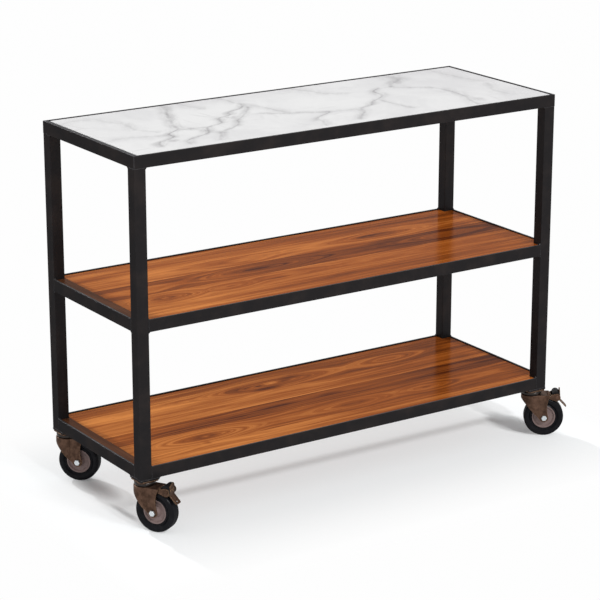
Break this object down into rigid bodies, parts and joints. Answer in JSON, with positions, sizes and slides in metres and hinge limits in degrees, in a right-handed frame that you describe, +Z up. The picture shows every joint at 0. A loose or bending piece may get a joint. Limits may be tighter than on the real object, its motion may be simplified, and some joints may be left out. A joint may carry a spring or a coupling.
{
  "type": "cheese trolley",
  "caption": "Three-tier kitchen trolley: black steel frame, white marble top, two varnished timber shelves, swivel casters with foot brakes at the front.",
  "frame": {"origin": "on the floor, under the middle of the frame's four outer corners", "axes": "+X along the frame's length, to the right of the side with the braked casters; +Y from that side to the back; +Z up"},
  "size_m": [1.2567, 0.4945, 0.9],
  "materials": {
    "black_steel": "satin black powder coat over welded mild steel",
    "shelf_wood": "reddish hardwood planks, glossy varnish",
    "batten_wood": "dark stained hardwood, glossy varnish",
    "plywood": "raw plywood",
    "marble": "polished white marble with fine grey veins",
    "zinc": "bright zinc plate",
    "brown_steel": "bronze brown plated pressed steel",
    "race_steel": "dark polished steel",
    "hub_plastic": "mauve brown moulded nylon",
    "tyre": "black rubber",
    "cam_plastic": "black moulded nylon"
  },
  "bodies": {
    "frame": {"post_front_left": "black_steel", "post_front_right": "black_steel", "post_rear_left": "black_steel", "post_rear_right": "black_steel", "bottom_rail_front": "black_steel", "bottom_rail_right": "black_steel", "bottom_rail_back": "black_steel", "bottom_rail_left": "black_steel", "middle_rail_front": "black_steel", "middle_rail_right": "black_steel", "middle_rail_back": "black_steel", "middle_rail_left": "black_steel", "top_rail_front": "black_steel", "top_rail_right": "black_steel", "top_rail_back": "black_steel", "top_rail_left": "black_steel", "weld_beads": "black_steel", "corner_plates": "black_steel", "shelf_bottom": "shelf_wood", "shelf_middle": "shelf_wood", "shelf_end_battens": "batten_wood", "top_underlay": "plywood", "marble_top": "marble", "shelf_screws": "zinc", "swivel_balls": "zinc", "king_bolts": "zinc", "caster_plate_front_left": "brown_steel", "ball_race_front_left": "race_steel", "caster_plate_front_right": "brown_steel", "ball_race_front_right": "race_steel", "caster_plate_rear_left": "brown_steel", "ball_race_rear_left": "race_steel", "caster_plate_rear_right": "brown_steel", "ball_race_rear_right": "race_steel"},
    "caster_front_left": {"fork_front_left": "brown_steel", "axle_front_left": "zinc", "brake_bracket_front_left": "brown_steel", "brake_rivets_front_left": "zinc", "brake_pin_front_left": "zinc"},
    "wheel_front_left": {"hub_front_left": "hub_plastic", "tyre_front_left": "tyre"},
    "brake_front_left": {"brake_cam_front_left": "cam_plastic", "brake_pedal_front_left": "brown_steel"},
    "caster_front_right": {"fork_front_right": "brown_steel", "axle_front_right": "zinc", "brake_bracket_front_right": "brown_steel", "brake_rivets_front_right": "zinc", "brake_pin_front_right": "zinc"},
    "wheel_front_right": {"hub_front_right": "hub_plastic", "tyre_front_right": "tyre"},
    "brake_front_right": {"brake_cam_front_right": "cam_plastic", "brake_pedal_front_right": "brown_steel"},
    "caster_rear_left": {"fork_rear_left": "brown_steel", "axle_rear_left": "zinc"},
    "wheel_rear_left": {"hub_rear_left": "hub_plastic", "tyre_rear_left": "tyre"},
    "caster_rear_right": {"fork_rear_right": "brown_steel", "axle_rear_right": "zinc"},
    "wheel_rear_right": {"hub_rear_right": "hub_plastic", "tyre_rear_right": "tyre"}
  },
  "joints": [
    {"name": "swivel_front_left", "type": "hinge", "parent": "frame", "child": "caster_front_left", "pos_m": [-0.575, -0.1925, 0.11], "axis": [0, 0, 1], "continuous": true},
    {"name": "roll_front_left", "type": "hinge", "parent": "caster_front_left", "child": "wheel_front_left", "pos_m": [-0.559, -0.22021, 0.051], "axis": [0.866, 0.5, 0], "continuous": true},
    {"name": "brake_front_left", "type": "hinge", "parent": "caster_front_left", "child": "brake_front_left", "pos_m": [-0.543, -0.24793, 0.105], "axis": [-0.866, -0.5, 0], "range_deg": [0, 25]},
    {"name": "swivel_front_right", "type": "hinge", "parent": "frame", "child": "caster_front_right", "pos_m": [0.575, -0.1925, 0.11], "axis": [0, 0, 1], "continuous": true},
    {"name": "roll_front_right", "type": "hinge", "parent": "caster_front_right", "child": "wheel_front_right", "pos_m": [0.60153, -0.21039, 0.051], "axis": [0.5592, 0.829, 0], "continuous": true},
    {"name": "brake_front_right", "type": "hinge", "parent": "caster_front_right", "child": "brake_front_right", "pos_m": [0.62806, -0.22829, 0.105], "axis": [-0.5592, -0.829, 0], "range_deg": [0, 25]},
    {"name": "swivel_rear_left", "type": "hinge", "parent": "frame", "child": "caster_rear_left", "pos_m": [-0.575, 0.1925, 0.11], "axis": [0, 0, 1], "continuous": true},
    {"name": "roll_rear_left", "type": "hinge", "parent": "caster_rear_left", "child": "wheel_rear_left", "pos_m": [-0.55277, 0.16948, 0.051], "axis": [0.7193, 0.6947, 0], "continuous": true},
    {"name": "swivel_rear_right", "type": "hinge", "parent": "frame", "child": "caster_rear_right", "pos_m": [0.575, 0.1925, 0.11], "axis": [0, 0, 1], "continuous": true},
    {"name": "roll_rear_right", "type": "hinge", "parent": "caster_rear_right", "child": "wheel_rear_right", "pos_m": [0.59557, 0.16799, 0.051], "axis": [0.766, 0.6428, 0], "continuous": true}
  ]
}
